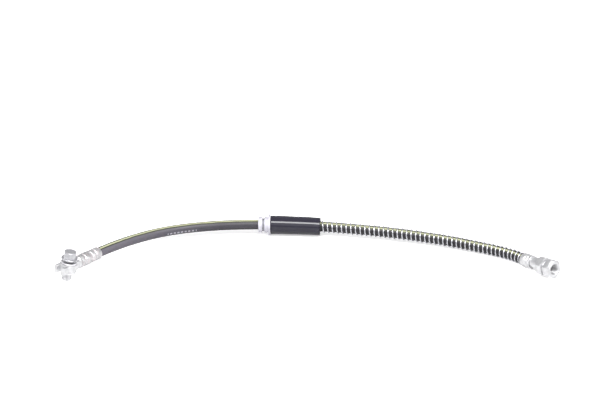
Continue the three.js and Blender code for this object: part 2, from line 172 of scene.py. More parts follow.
# Female end fitting
END_NECK_RADIUS = 5.8 * MM
END_NECK_LENGTH = 11.4 * MM
END_COLLAR_RADIUS = 6.8 * MM
END_COLLAR_LENGTH = 4.5 * MM
END_HEX_FLATS = 17.5 * MM
END_HEX_TURN = math.radians(7.5)
REAR_HEX_LENGTH = 9.7 * MM
CLIP_GROOVE_RADIUS = 7.2 * MM
CLIP_GROOVE_WIDTH = 2.5 * MM
FRONT_HEX_LENGTH = 8.3 * MM
HEX_CHAMFER = 1 * MM
NOSE_RADIUS = 7.4 * MM
NOSE_LENGTH = 0.6 * MM
NOSE_CHAMFER = 0.3 * MM
PORT_RADIUS = 4.5 * MM
PORT_DEPTH = 9.5 * MM
PORT_COUNTERSINK = 1.2 * MM
PORT_SEAT_DEPTH = 2.2 * MM
END_ROUNDING = 0.18 * MM
END_EDGE = 0.16 * MM

# The photograph's frame and viewpoint
PHOTO_WIDTH = 600
PIXELS_PER_METRE = 980
VIEW_ELEVATION = math.radians(26)
VIEW_TARGET = (-0.007414, 0.09457, 0.010)
VIEW_DISTANCE = 16.0
SENSOR_WIDTH = 36

# The hose's rubber, a chalky bloom with painted light that fades along it, and painted shade that darkens it
# inside the guard
RUBBER_BLACK = (0.026, 0.024, 0.031)
RUBBER_DUSTY = (0.042, 0.039, 0.049)
RUBBER_SHADED_IN_GUARD = (0.009, 0.008, 0.011)
BLOOM_AND_PAINTED_LIGHT = (0.07, 0.065, 0.077)
BLOOM_AND_LIGHT_START = 20 * MM
BLOOM_AND_LIGHT_END = 175 * MM

# The stripe, and its middle's angle from straight up, in degrees, by the share of the hose's length
STRIPE_ANGLES = ((0.0, 17), (0.12, 14), (0.25, 12), (0.41, 12), (0.56, 21), (0.8, 25), (1.0, 27))
STRIPE_HALF_WIDTH = 0.95 * MM
STRIPE_BORDER = 1.0 * MM
STRIPE_DRIFT = 0.25 * MM
STRIPE_BLUR = 0.12 * MM
STRIPE_DULL = (0.31, 0.32, 0.2)
STRIPE_PALE = (0.37, 0.38, 0.245)
STRIPE_EDGE = (0.03, 0.032, 0.016)

# The row of plain printed dashes
PRINT_START = 117 * MM
PRINT_END = 149 * MM
PRINT_PITCH = 4.0 * MM
PRINT_DASH_SHARE = 0.55
PRINT_ANGLE = math.radians(90)
PRINT_HALF_HEIGHT = math.radians(10)
PRINT_STRENGTH = 0.8
PRINT_INK = (0.38, 0.37, 0.42)

# Tones of the sleeve, the wire, the washers and the plated steel
SLEEVE_BLACK = (0.012, 0.011, 0.019)
SLEEVE_DUSTY = (0.018, 0.0165, 0.028)
WIRE_DULL = (0.6, 0.6, 0.64)
WIRE_BRIGHT = (0.78, 0.78, 0.82)
WASHER_BRIGHT = (0.93, 0.92, 0.94)
WASHER_CLOUDY = (0.84, 0.83, 0.86)
BRIGHT = (0.8, 0.8, 0.81)
CLOUDY = (0.64, 0.64, 0.65)
SATIN = (0.72, 0.71, 0.76)
SATIN_CLOUDY = (0.62, 0.61, 0.66)
BOLT_BRIGHT = (0.63, 0.63, 0.65)
BOLT_CLOUDY = (0.5, 0.5, 0.52)
MOTTLED = (0.42, 0.42, 0.43)
PINK_CAST = (0.78, 0.68, 0.69)

# The paper floor's glow, and how pale it is to the camera, in a reflection and to bounced light
FLOOR_HALF_WIDTH = 6.0
FLOOR_GLOW = 0.5
FLOOR_PAPER = 1.0
REFLECTED_PAPER = 0.62
LIT_PAPER = 0.72

TURNED_SIDES = 96
SMALL_BORE_SIDES = 24
# The share of a side that the rounding of one corner may take
CORNER_SHARE = 0.45
UP = Vector((0, 0, 1))


def catmull_rom(points, samples):
    """The points of a smooth curve through a list of points, evenly sampled in each span."""
    known = [Vector(point) for point in points]
    known = [2 * known[0] - known[1]] + known + [2 * known[-1] - known[-2]]
    line = []
    for before, start, end, after in zip(known, known[1:], known[2:], known[3:]):
        leave = (end - before) / 2
        arrive = (after - start) / 2
        for step in range(samples):
            t = step / samples
            line.append(
                start * (2 * t**3 - 3 * t**2 + 1)
                + leave * (t**3 - 2 * t**2 + t)
                + end * (3 * t**2 - 2 * t**3)
                + arrive * (t**3 - t**2)
            )
    line.append(known[-2].copy())
    return line


class Route:
    """The hose's centreline, read by the distance along it."""

    def __init__(self, points):
        self.line = catmull_rom(points, ROUTE_SAMPLES_PER_SPAN)
        self.reach = [0.0]
        for a, b in zip(self.line, self.line[1:]):
            self.reach.append(self.reach[-1] + (b - a).length)
        self.length = self.reach[-1]

    def span(self, distance):
        """The number of the piece of the line that holds a distance."""
        low = 0
        high = len(self.reach) - 2
        while low < high:
            middle = (low + high + 1) // 2
            if self.reach[middle] <= distance:
                low = middle
            else:
                high = middle - 1
        return low

    def point(self, distance):
        """The point of the centreline at a distance along it."""
        i = self.span(distance)
        share = (distance - self.reach[i]) / (self.reach[i + 1] - self.reach[i])
        return self.line[i].lerp(self.line[i + 1], share)

    def direction(self, distance):
        """The slope of the curve, averaged over a millimetre so that it turns evenly."""
        low = max(0.0, distance - MM / 2)
        high = min(self.length, distance + MM / 2)
        return (self.point(high) - self.point(low)).normalized()

    def place(self, distance, roll=0.0):
        """A matrix whose X runs along the hose at a distance and whose Z is rolled from straight up."""
        return placed(self.point(distance), self.direction(distance), roll)


def placed(origin, along, roll=0.0):
    """A matrix at an origin whose X runs along a direction and whose Z is rolled from straight up."""
    side = UP.cross(along).normalized()
    up = along.cross(side)
    turn = Matrix((along, side, up)).transposed().to_4x4()
    return Matrix.Translation(origin) @ turn @ Matrix.Rotation(roll, 4, "X")


route = Route(ROUTE_POINTS)

# Places along the hose and along each fitting's own axis
BANJO_FERRULE_START = NECK_LENGTH + HUB_LENGTH + GAP
EYE_TO_HOSE = BANJO_FERRULE_START + FERRULE_END_WALL + GAP
UPPER_WASHER_SEAT = EYE_THICKNESS / 2 + GAP
BOLT_SEAT = UPPER_WASHER_SEAT + WASHER_THICKNESS + BOLT_LIFT
BRACKET_LENGTH = 2 * RING_LENGTH + BRACKET_GROOVE_WIDTH + FLANGE_THICKNESS
SLEEVE_PLACE = BRACKET_PLACE + BRACKET_LENGTH + GAP
GUARD_START = SLEEVE_PLACE + SLEEVE_LENGTH + GAP
END_FERRULE_OVERLAP = END_FERRULE_LENGTH - FERRULE_END_WALL - GAP
GUARD_END = route.length - END_FERRULE_OVERLAP - GAP

hose_start = route.direction(0)
BANJO_PLACE = placed(route.point(0) - EYE_TO_HOSE * hose_start, hose_start, BANJO_ROLL)
BRACKET_END_PLACE = route.place(BRACKET_PLACE + BRACKET_LENGTH)
END_PLACE = route.place(route.length)
# The bolt's and washers' own X axes run down and up through the eye
BOLT_PLACE = BANJO_PLACE @ Matrix.Translation((0, 0, BOLT_SEAT)) @ Matrix.Rotation(math.pi / 2, 4, "Y")

# Zones of another tone, each from a place to another along the piece's axis, within a radius of it:
# painted shade on the neck under the bolt's flange, painted light on the bolt's tip, painted shade in the
# groove between the bracket's rings and painted shade inside the port
BOLT_NECK_PAINTED_SHADE = (-0.05 * MM, BOLT_LIFT, 9 * MM, (0.28, 0.28, 0.29))
# Painted light: the bolt's threaded tip is paler
BOLT_TIP_PAINTED_LIGHT = (BOLT_THREAD_START + 6 * MM, BOLT_SHANK + MM, 9 * MM, (0.74, 0.74, 0.75))
# Painted shade in the groove between the bracket's rings
BRACKET_GROOVE_PAINTED_SHADE = (
    RING_LENGTH - BRACKET_LENGTH,
    RING_LENGTH + BRACKET_GROOVE_WIDTH - BRACKET_LENGTH,
    RING_RADIUS - 0.5 * MM,
    (0.34, 0.34, 0.37),
)
# Painted shade inside the port
PORT_PAINTED_SHADE = (20 * MM, 40 * MM, 5.1 * MM, (0.52, 0.52, 0.53))
ZONE_BLUR = 0.1 * MM


def make_camera():
    """The photograph's view, on a long lens."""
    camera = bpy.data.cameras.new("photo_camera")
    camera.sensor_width = SENSOR_WIDTH
    depth = VIEW_DISTANCE - VIEW_TARGET[1] * math.cos(VIEW_ELEVATION)
    camera.lens = depth * SENSOR_WIDTH * PIXELS_PER_METRE / PHOTO_WIDTH
    camera.clip_end = 50
    holder = bpy.data.objects.new("photo_camera", camera)
    bpy.context.scene.collection.objects.link(holder)
    target = Vector(VIEW_TARGET)
    back = Vector((0, -math.cos(VIEW_ELEVATION), math.sin(VIEW_ELEVATION)))
    holder.location = target + VIEW_DISTANCE * back
    holder.rotation_euler = back.to_track_quat("Z", "Y").to_euler()
    bpy.context.scene.camera = holder


def link_mesh(name, mesh):
    holder = bpy.data.objects.new(name, mesh)
    bpy.context.scene.collection.objects.link(holder)
    return holder


def finished(shape, name, smooth_angle=35):
    """Closes a bmesh into an object with its faces outwards and its sharp edges kept."""
    bmesh.ops.remove_doubles(shape, verts=shape.verts, dist=1e-7)
    bmesh.ops.recalc_face_normals(shape, faces=shape.faces)
    mesh = bpy.data.meshes.new(name)
    shape.to_mesh(mesh)
    shape.free()
    smooth(mesh, smooth_angle)
    return link_mesh(name, mesh)


def smooth(mesh, angle=35):
    """Shades a mesh smooth, apart from its edges over an angle in degrees."""
    for face in mesh.polygons:
        face.use_smooth = True
    mesh.set_sharp_from_angle(angle=math.radians(angle))


def baked(holder):
    """Applies an object's modifiers and returns it with a plain mesh."""
    depsgraph = bpy.context.evaluated_depsgraph_get()
    mesh = bpy.data.meshes.new_from_object(holder.evaluated_get(depsgraph))
    holder.modifiers.clear()
    old = holder.data
    holder.data = mesh
    bpy.data.meshes.remove(old)
    return holder


def mended(mesh):
    """Drops slivers that a cut can leave back to back, and closes the tiny holes it can leave."""
    work = bmesh.new()
    work.from_mesh(mesh)
    groups = {}
    for face in work.faces:
        groups.setdefault(frozenset(face.verts), []).append(face)
    flaps = [face for group in groups.values() if len(group) > 1 for face in group]
    bmesh.ops.delete(work, geom=flaps, context="FACES")
    rims = [edge for edge in work.edges if edge.is_boundary]
    bmesh.ops.holes_fill(work, edges=rims, sides=4)
    work.to_mesh(mesh)
    work.free()


def combine(holder, tool, operation):
    """Joins, cuts or intersects two closed pieces, and drops the tool."""
    step = holder.modifiers.new(operation, "BOOLEAN")
    step.operation = operation
    step.solver = "EXACT"
    step.object = tool
    baked(holder)
    mended(holder.data)
    bpy.data.objects.remove(tool)
    return holder


def softened(holder, width, segments=2, angle=28):
    """Rounds the edges that a cut or a join has left sharp."""
    step = holder.modifiers.new("edges", "BEVEL")
    step.width = width
    step.segments = segments
    step.limit_method = "ANGLE"
    step.angle_limit = math.radians(angle)
    baked(holder)
    smooth(holder.data)
    return holder


def settled(holder, place):
    """Moves a piece's mesh to its place, so that its object stays at the origin."""
    holder.data.transform(place)
    holder.data.update()
    return holder


def rounded(profile, radius, closed, steps=4):
    """A profile of (distance, radius) points with its corners rounded."""
    points = [Vector(point) for point in profile]
    line = []
    for i, corner in enumerate(points):
        if not closed and i in (0, len(points) - 1):
            line.append(corner)
            continue
        back = points[i - 1] - corner
        ahead = points[(i + 1) % len(points)] - corner
        start = corner + back.normalized() * min(radius, CORNER_SHARE * back.length)
        end = corner + ahead.normalized() * min(radius, CORNER_SHARE * ahead.length)
        for step in range(steps + 1):
            t = step / steps
            line.append(start * (1 - t) ** 2 + corner * 2 * t * (1 - t) + end * t**2)
    return line


def turned(name, profile, sides=TURNED_SIDES, shape=None):
    """Turns a profile about the X axis. A profile that starts and ends on the axis is solid, and
    any other closes on itself. shape changes the radius by distance, radius and angle."""
    work = bmesh.new()
    solid = profile[0][1] == 0 and profile[-1][1] == 0
    rings = []
    for along, radius in profile:
        if radius == 0:
            rings.append([work.verts.new((along, 0, 0))] * sides)
            continue
        ring = []
        for i in range(sides):
            angle = 2 * math.pi * i / sides
            r = shape(along, radius, angle) if shape else radius
            ring.append(work.verts.new((along, r * math.cos(angle), r * math.sin(angle))))
        rings.append(ring)
    pairs = list(zip(rings, rings[1:]))
    if not solid:
        pairs.append((rings[-1], rings[0]))
    for near, far in pairs:
        for i in range(sides):
            j = (i + 1) % sides
            corners = []
            for corner in (near[i], near[j], far[j], far[i]):
                if corner not in corners:
                    corners.append(corner)
            if len(corners) > 2:
                work.faces.new(corners)
    return finished(work, name)


def rod(name, radius, start, end, sides=SMALL_BORE_SIDES):
    """A plain round rod along the X axis."""
    return turned(name, [(start, 0), (start, radius), (end, radius), (end, 0)], sides)


def hex_bar(name, flats, start, end, turn=0.0):
    """A hexagonal bar along the X axis, with one corner turned by an angle from +Z."""
    work = bmesh.new()
    corner = flats / math.sqrt(3)
    ends = []
    for along in (start, end):
        ring = []
        for i in range(6):
            angle = math.pi / 2 + turn + math.pi * i / 3
            ring.append(work.verts.new((along, corner * math.cos(angle), corner * math.sin(angle))))
        ends.append(ring)
        work.faces.new(ring)
    for i in range(6):
        j = (i + 1) % 6
        work.faces.new((ends[0][i], ends[0][j], ends[1][j], ends[1][i]))
    return finished(work, name, smooth_angle=20)


def threaded_rod(name, radius, start, end, sides=64, steps_per_pitch=8, root_flat=1.25):
    """A rod along the X axis with a helical thread that fades out at both ends."""
    rows = round((end - start) / THREAD_PITCH * steps_per_pitch)
    profile = [(start, 0)]
    profile += [(start + (end - start) * i / rows, radius) for i in range(rows + 1)]
    profile += [(end, 0)]

    def thread(along, crest, angle):
        phase = (along / THREAD_PITCH - angle / (2 * math.pi)) % 1.0
        ridge = abs(2 * phase - 1)
        fade = min(1.0, (along - start) / THREAD_PITCH, (end - along) / THREAD_PITCH)
        return crest - THREAD_DEPTH * max(0.0, fade) * min(1.0, root_flat * ridge)

    return turned(name, profile, sides, thread)


def make_hose():
    """The hose as a tube, with its stripe's angle kept on each corner for the rubber's pattern."""
    sides = 64
    rings = 420
    work = bmesh.new()
    turn_layer = work.verts.layers.float_vector.new("hose_pattern")
    loops = []
    for i in range(rings + 1):
        distance = route.length * i / rings
        place = route.place(distance)
        centre = stripe_angle(distance / route.length)
        walls = []
        for radius in (HOSE_RADIUS, HOSE_BORE_RADIUS):
            ring = []
            for j in range(sides):
                angle = 2 * math.pi * j / sides
                spot = Vector((0, -radius * math.sin(angle), radius * math.cos(angle)))
                corner = work.verts.new(place @ spot)
                corner[turn_layer] = (math.cos(angle - centre), math.sin(angle - centre), distance)
                ring.append(corner)
            walls.append(ring)
        loops.append(walls)
    for near, far in zip(loops, loops[1:]):
        for wall in (0, 1):
            for j in range(sides):
                k = (j + 1) % sides
                work.faces.new((near[wall][j], near[wall][k], far[wall][k], far[wall][j]))
    for end in (loops[0], loops[-1]):
        for j in range(sides):
            k = (j + 1) % sides
            work.faces.new((end[0][j], end[0][k], end[1][k], end[1][j]))
    return finished(work, "hose_rubber_tube")


def stripe_angle(share):
    """Where the stripe's middle lies from straight up towards the viewer, by its share of the length."""
    for (start, low), (end, high) in zip(STRIPE_ANGLES, STRIPE_ANGLES[1:]):
        if share <= end:
            blend = (share - start) / (end - start)
            return math.radians(low + (high - low) * blend)
    return math.radians(STRIPE_ANGLES[-1][1])


def crimped_profile(length, wall, crimps, step=0.0):
    """A ferrule from its end wall at 0 to its mouth, stepping down after its second crimp."""
    outer = FERRULE_BORE + wall
    profile = [(0, STUB_RADIUS + GAP), (0, outer)]
    level = outer
    for number, middle in enumerate(crimps):
        profile.append((middle - CRIMP_WIDTH / 2, level))
        profile.append((middle - CRIMP_WIDTH / 4, level - CRIMP_DEPTH))
        if number == 1:
            level -= step
        profile.append((middle + CRIMP_WIDTH / 4, level - CRIMP_DEPTH))
        profile.append((middle + CRIMP_WIDTH / 2, level))
    profile += [(length, level), (length, FERRULE_BORE)]
    profile += [(FERRULE_END_WALL, FERRULE_BORE), (FERRULE_END_WALL, STUB_RADIUS + GAP)]
    return rounded(profile, FERRULE_ROUNDING, closed=True)


def jaw_marks(crimps):
    """The flats that the crimping jaws leave in each groove, and nothing on the ferrule's bore."""
    inner_wall = FERRULE_BORE + 0.2 * MM

    def shape(along, radius, angle):
        if radius < inner_wall:
            return radius
        near = max(0.0, 1 - min(abs(along - middle) for middle in crimps) / CRIMP_WIDTH)
        return radius - JAW_MARK_DEPTH * near * (0.5 + 0.5 * math.cos(CRIMP_JAWS * angle))

    return shape


def make_banjo_ferrule():
    """The long crimped shell over the hose's banjo end."""
    profile = crimped_profile(BANJO_FERRULE_LENGTH, BANJO_FERRULE_WALL, BANJO_CRIMPS, BANJO_FERRULE_STEP)
    piece = turned("banjo_crimp_ferrule", profile, shape=jaw_marks(BANJO_CRIMPS))
    return settled(piece, BANJO_PLACE @ Matrix.Translation((BANJO_FERRULE_START, 0, 0)))


def make_end_ferrule():
    """The short crimped shell at the female end, its mouth facing back along the hose."""
    profile = crimped_profile(END_FERRULE_LENGTH, END_FERRULE_WALL, END_CRIMPS)
    piece = turned("end_crimp_ferrule", profile, shape=jaw_marks(END_CRIMPS))
    place = END_PLACE @ Matrix.Translation((GAP + FERRULE_END_WALL, 0, 0)) @ Matrix.Rotation(math.pi, 4, "Z")
    return settled(piece, place)


def arc(centre, radius, start, end, steps):
    """Points of an arc from one angle to another."""
    return [
        (
            centre[0] + radius * math.cos(start + (end - start) * i / steps),
            centre[1] + radius * math.sin(start + (end - start) * i / steps),
        )
        for i in range(steps + 1)
    ]


def banjo_outline():
    """Half of the forged outline from the neck to the fork, then its mirror image."""
    neck = NECK_WIDTH / 2
    inner = FORK_NOTCH_WIDTH / 2
    outer = inner + PRONG_WIDTH
    neck_angle = math.asin(neck / EYE_RADIUS)
    prong_angle = math.pi - math.asin(outer / EYE_RADIUS)
    half = [(NECK_LENGTH, neck)]
    half += arc((0, 0), EYE_RADIUS, neck_angle, prong_angle, 40)
    half += arc((PRONG_CORNER - FORK_REACH, outer - PRONG_CORNER), PRONG_CORNER, math.pi / 2, math.pi, 6)
    half += [(-FORK_REACH, inner), (-FORK_NOTCH_FLOOR, inner)]
    return half + [(x, -y) for x, y in reversed(half)]


def make_banjo_fitting():
    """The forged eye and fork, joined to the turned hub and stem, then bored."""
    work = bmesh.new()
    low = -EYE_THICKNESS / 2
    outline = banjo_outline()
    floor = [work.verts.new((x, y, low)) for x, y in outline]
    roof = [work.verts.new((x, y, -low)) for x, y in outline]
    work.faces.new(floor)
    work.faces.new(roof)
    for i in range(len(outline)):
        j = (i + 1) % len(outline)
        work.faces.new((floor[i], floor[j], roof[j], roof[i]))
    piece = finished(work, "banjo_forging")
    softened(piece, FORGED_EDGE, segments=3, angle=40)
    ferrule_end = BANJO_FERRULE_START + BANJO_FERRULE_LENGTH
    shank = [
        (NECK_LENGTH - HUB_CONE_LENGTH, 0),
        (NECK_LENGTH - HUB_CONE_LENGTH, HUB_RADIUS - HUB_CONE_DROP),
        (NECK_LENGTH, HUB_RADIUS),
        (NECK_LENGTH + HUB_LENGTH, HUB_RADIUS),
        (NECK_LENGTH + HUB_LENGTH, STUB_RADIUS),
        (EYE_TO_HOSE, STUB_RADIUS),
        (EYE_TO_HOSE, STEM_RADIUS),
        (ferrule_end, STEM_RADIUS),
        (ferrule_end, 0),
    ]
    combine(piece, turned("shank", rounded(shank, HUB_ROUNDING, closed=False, steps=3)), "UNION")
    bore = [
        (low - MM, 0),
        (low - MM, EYE_BORE + EYE_BORE_LEAD + MM),
        (low + EYE_BORE_LEAD, EYE_BORE),
        (-low - EYE_BORE_LEAD, EYE_BORE),
        (-low + MM, EYE_BORE + EYE_BORE_LEAD + MM),
        (-low + MM, 0),
    ]
    cutter = settled(turned("eye_bore", bore), Matrix.Rotation(math.pi / 2, 4, "Y"))
    combine(piece, cutter, "DIFFERENCE")
    combine(piece, rod("passage", PASSAGE_RADIUS, 0, ferrule_end + MM), "DIFFERENCE")
    smooth(piece.data)
    return settled(piece, BANJO_PLACE)


def make_banjo_bolt():
    """The hollow bolt, built from its flange's seat with the head at negative X."""
    head_top = -BOLT_FLANGE_THICKNESS - BOLT_HEX_HEIGHT
    corner = BOLT_HEX_FLATS / math.sqrt(3) + HEX_SPARE
    flat = BOLT_HEX_FLATS / 2 - BOLT_HEX_CHAMFER
    envelope = [
        (head_top + BOLT_DISH_DEPTH, 0),
        (head_top + BOLT_DISH_DEPTH, flat - BOLT_DISH_FLOOR_INSET),
        (head_top, flat - BOLT_DISH_RIM),
        (head_top, flat),
        (head_top + (corner - flat) * math.tan(math.pi / 6), corner),
        (-BOLT_FLANGE_THICKNESS / 2, corner),
        (-BOLT_FLANGE_THICKNESS / 2, 0),
    ]
    piece = turned("hollow_bolt", rounded(envelope, BOLT_HEAD_ROUNDING, closed=False, steps=2))
    bar = hex_bar("bar", BOLT_HEX_FLATS, head_top - MM, 0, turn=BOLT_HEX_TURN)
    combine(piece, bar, "INTERSECT")
    softened(piece, BOLT_HEAD_EDGE)
    neck_radius = BOLT_RADIUS - THREAD_DEPTH
    neck_end = BOLT_THREAD_START + 2 * MM
    flange = [
        (-BOLT_FLANGE_THICKNESS, 0),
        (-BOLT_FLANGE_THICKNESS, BOLT_FLANGE_RADIUS - BOLT_FLANGE_CONE_WIDTH),
        (-BOLT_FLANGE_THICKNESS + BOLT_FLANGE_CONE_HEIGHT, BOLT_FLANGE_RADIUS),
        (0, BOLT_FLANGE_RADIUS),
        (0, neck_radius + 0.3 * MM),
        (BOLT_THREAD_START, neck_radius),
        (neck_end, neck_radius - 0.2 * MM),
        (neck_end, 0),
    ]
    combine(piece, turned("flange", rounded(flange, BOLT_FLANGE_ROUNDING, closed=False)), "UNION")
    # The thread runs past the shank's end, so that the tip cuts it square
    thread = threaded_rod("thread", BOLT_RADIUS, BOLT_THREAD_START, BOLT_SHANK + 0.8 * MM)
    tip = [
        (BOLT_THREAD_START - MM, 0),
        (BOLT_THREAD_START - MM, BOLT_RADIUS + MM),
        (BOLT_SHANK - BOLT_TIP_CHAMFER, BOLT_RADIUS + 0.02 * MM),
        (BOLT_SHANK, BOLT_RADIUS - BOLT_TIP_CHAMFER),
        (BOLT_SHANK, 0),
    ]
    combine(thread, turned("tip", tip), "INTERSECT")
    combine(piece, thread, "UNION")
    bore = [
        (BOLT_SEAT - 2 * BOLT_BORE_RADIUS, 0),
        (BOLT_SEAT - BOLT_BORE_RADIUS, BOLT_BORE_RADIUS),
        (BOLT_SHANK - 0.6 * MM, BOLT_BORE_RADIUS),
        (BOLT_SHANK + 0.4 * MM, BOLT_BORE_RADIUS + MM),
        (BOLT_SHANK + 0.4 * MM, 0),
    ]
    combine(piece, turned("bore", bore, 48), "DIFFERENCE")
    port = rod("port", BOLT_PORT_RADIUS, -BOLT_FLANGE_RADIUS, BOLT_FLANGE_RADIUS, sides=32)
    settled(port, Matrix.Translation((BOLT_SEAT, 0, 0)) @ Matrix.Rotation(math.pi / 2, 4, "Y"))
    combine(piece, port, "DIFFERENCE")
    smooth(piece.data)
    return settled(piece, BOLT_PLACE)


def make_washer(name, height):
    """A flat sealing washer whose lower face is at a height over the middle of the eye."""
    profile = [
        (0, EYE_BORE),
        (0, WASHER_RADIUS),
        (WASHER_THICKNESS, WASHER_RADIUS),
        (WASHER_THICKNESS, EYE_BORE),
    ]
    piece = turned(name, rounded(profile, WASHER_ROUNDING, closed=True))
    lift = Matrix.Translation((0, 0, height)) @ Matrix.Rotation(-math.pi / 2, 4, "Y")
    return settled(piece, BANJO_PLACE @ lift)


def make_bracket_ferrule():
    """Two rings with the clip's groove between them, then the wide flange."""
    groove = RING_LENGTH
    second = groove + BRACKET_GROOVE_WIDTH
    flange = second + RING_LENGTH
    profile = [
        (0, FERRULE_BORE),
        (0, RING_RADIUS),
        (groove, RING_RADIUS),
        (groove, BRACKET_GROOVE_RADIUS),
        (second, BRACKET_GROOVE_RADIUS),
        (second, RING_RADIUS),
        (flange, RING_RADIUS),
        (flange, FLANGE_RADIUS),
        (BRACKET_LENGTH, FLANGE_RADIUS),
        (BRACKET_LENGTH, FERRULE_BORE),
    ]
    piece = turned("bracket_ring_ferrule", rounded(profile, FERRULE_ROUNDING, closed=True))
    return settled(piece, BRACKET_END_PLACE @ Matrix.Translation((-BRACKET_LENGTH, 0, 0)))


def make_sleeve():
    """The sleeve is turned straight, then bent along the hose."""
    rings = 40
    profile = [(0, SLEEVE_RADIUS)]
    for i in range(1, rings):
        share = i / rings
        profile.append((share * SLEEVE_LENGTH, SLEEVE_RADIUS - SLEEVE_TAPER * share))
    profile.append((SLEEVE_LENGTH, SLEEVE_RADIUS - SLEEVE_TAPER))
    profile += [(SLEEVE_LENGTH, FERRULE_BORE + SLEEVE_LIP), (SLEEVE_LENGTH - SLEEVE_LIP, FERRULE_BORE)]
    profile += [(SLEEVE_LENGTH * i / rings, FERRULE_BORE) for i in range(rings - 1, -1, -1)]
    piece = turned("guard_sleeve", rounded(profile, SLEEVE_ROUNDING, closed=True))
    for corner in piece.data.vertices:
        place = route.place(SLEEVE_PLACE + corner.co.x)
        corner.co = place @ Vector((0, corner.co.y, corner.co.z))
    piece.data.update()
    return piece


def node_maker(tree):
    """A short way to add a node with its settings and its inputs."""

    def add(kind, links=None, **settings):
        node = tree.nodes.new(kind)
        for name, value in settings.items():
            setattr(node, name, value)
        for name, value in (links or {}).items():
            socket = node.inputs[name]
            if isinstance(value, bpy.types.NodeSocket):
                tree.links.new(value, socket)
            else:
                socket.default_value = value
        return node

    return add


def number_maker(add):
    """A short way to add a math node with its values."""

    def number(operation, *values):
        return add("ShaderNodeMath", dict(enumerate(values)), operation=operation).outputs[0]

    return number


def vector_maker(add):
    """A short way to add a vector math node with its values."""

    def vector(operation, *values):
        return add("ShaderNodeVectorMath", dict(enumerate(values)), operation=operation).outputs["Vector"]

    return vector


def guard_tree():
    """Geometry nodes that wind a wire round the curve they are given."""
    tree = bpy.data.node_groups.new("spring_guard_winding", "GeometryNodeTree")
    tree.interface.new_socket("Hose Line", in_out="INPUT", socket_type="NodeSocketGeometry")
    for name, kind in (
        ("Turns", "NodeSocketFloat"),
        ("Steps", "NodeSocketInt"),
        ("Start", "NodeSocketFloat"),
        ("End", "NodeSocketFloat"),
        ("Coil Radius", "NodeSocketFloat"),
        ("Wire Radius", "NodeSocketFloat"),
        ("Finish", "NodeSocketMaterial"),
    ):
        tree.interface.new_socket(name, in_out="INPUT", socket_type=kind)
    tree.interface.new_socket("Guard", in_out="OUTPUT", socket_type="NodeSocketGeometry")
    add = node_maker(tree)
    number = number_maker(add)
    vector = vector_maker(add)
    given = add("NodeGroupInput").outputs
    count = number("ADD", given["Steps"], 1)
    line = add("GeometryNodeMeshLine", {"Count": count}, mode="OFFSET")
    curve = add("GeometryNodeMeshToCurve", {"Mesh": line.outputs["Mesh"]})
    share = number("DIVIDE", add("GeometryNodeInputIndex").outputs["Index"], given["Steps"])
    distance = number("MULTIPLY_ADD", share, number("SUBTRACT", given["End"], given["Start"]), given["Start"])
    sample = add("GeometryNodeSampleCurve", {"Length": distance}, mode="LENGTH")
    tree.links.new(given["Hose Line"], sample.inputs["Curves"])
    centre = sample.outputs["Position"]
    along = sample.outputs["Tangent"]
    side = vector("NORMALIZE", vector("CROSS_PRODUCT", (0, 0, 1), along))
    up = vector("CROSS_PRODUCT", along, side)
    angle = number("MULTIPLY", number("MULTIPLY", share, given["Turns"]), 2 * math.pi)
    sideways = number("MULTIPLY", number("COSINE", angle), given["Coil Radius"])
    upwards = number("MULTIPLY", number("SINE", angle), given["Coil Radius"])
    side_part = add("ShaderNodeVectorMath", {0: side, "Scale": sideways}, operation="SCALE")
    up_part = add("ShaderNodeVectorMath", {0: up, "Scale": upwards}, operation="SCALE")
    spot = vector("ADD", centre, vector("ADD", side_part.outputs[0], up_part.outputs[0]))
    wound = add("GeometryNodeSetPosition", {"Geometry": curve.outputs["Curve"], "Position": spot})
    section_sizes = {"Resolution": GUARD_WIRE_SIDES, "Radius": given["Wire Radius"]}
    section = add("GeometryNodeCurvePrimitiveCircle", section_sizes)
    wire = add(
        "GeometryNodeCurveToMesh",
        {"Curve": wound.outputs["Geometry"], "Profile Curve": section.outputs["Curve"], "Fill Caps": True},
    )
    real = add("GeometryNodeRealizeInstances", {"Geometry": wire.outputs["Mesh"]})
    finish = {"Geometry": real.outputs["Geometry"], "Material": given["Finish"]}
    dressed = add("GeometryNodeSetMaterial", finish)
    result = add("NodeGroupOutput")
    tree.links.new(dressed.outputs["Geometry"], result.inputs["Guard"])
    return tree


def make_spring_guard(finish):
    """The wire wound round the hose's line by the nodes, as a plain mesh."""
    curve = bpy.data.curves.new("guard_line", "CURVE")
    curve.dimensions = "3D"
    spline = curve.splines.new("POLY")
    spline.points.add(len(route.line) - 1)
    for point, place in zip(spline.points, route.line):
        point.co = (*place, 1)
    holder = bpy.data.objects.new("spring_guard_wire", curve)
    bpy.context.scene.collection.objects.link(holder)
    tree = guard_tree()
    winding = holder.modifiers.new("winding", "NODES")
    winding.node_group = tree
    sockets = {item.name: item.identifier for item in tree.interface.items_tree if item.in_out == "INPUT"}
    winding[sockets["Turns"]] = float(GUARD_TURNS)
    winding[sockets["Steps"]] = GUARD_TURNS * GUARD_STEPS_PER_TURN
    winding[sockets["Start"]] = GUARD_START + GUARD_WIRE_RADIUS
    winding[sockets["End"]] = GUARD_END - GUARD_WIRE_RADIUS
    winding[sockets["Coil Radius"]] = HOSE_RADIUS + GUARD_WIRE_RADIUS
    winding[sockets["Wire Radius"]] = GUARD_WIRE_RADIUS
    winding[sockets["Finish"]] = finish
    depsgraph = bpy.context.evaluated_depsgraph_get()
    mesh = bpy.data.meshes.new_from_object(holder.evaluated_get(depsgraph))
    bpy.data.objects.remove(holder)
    smooth(mesh, 60)
    return link_mesh("spring_guard_wire", mesh)


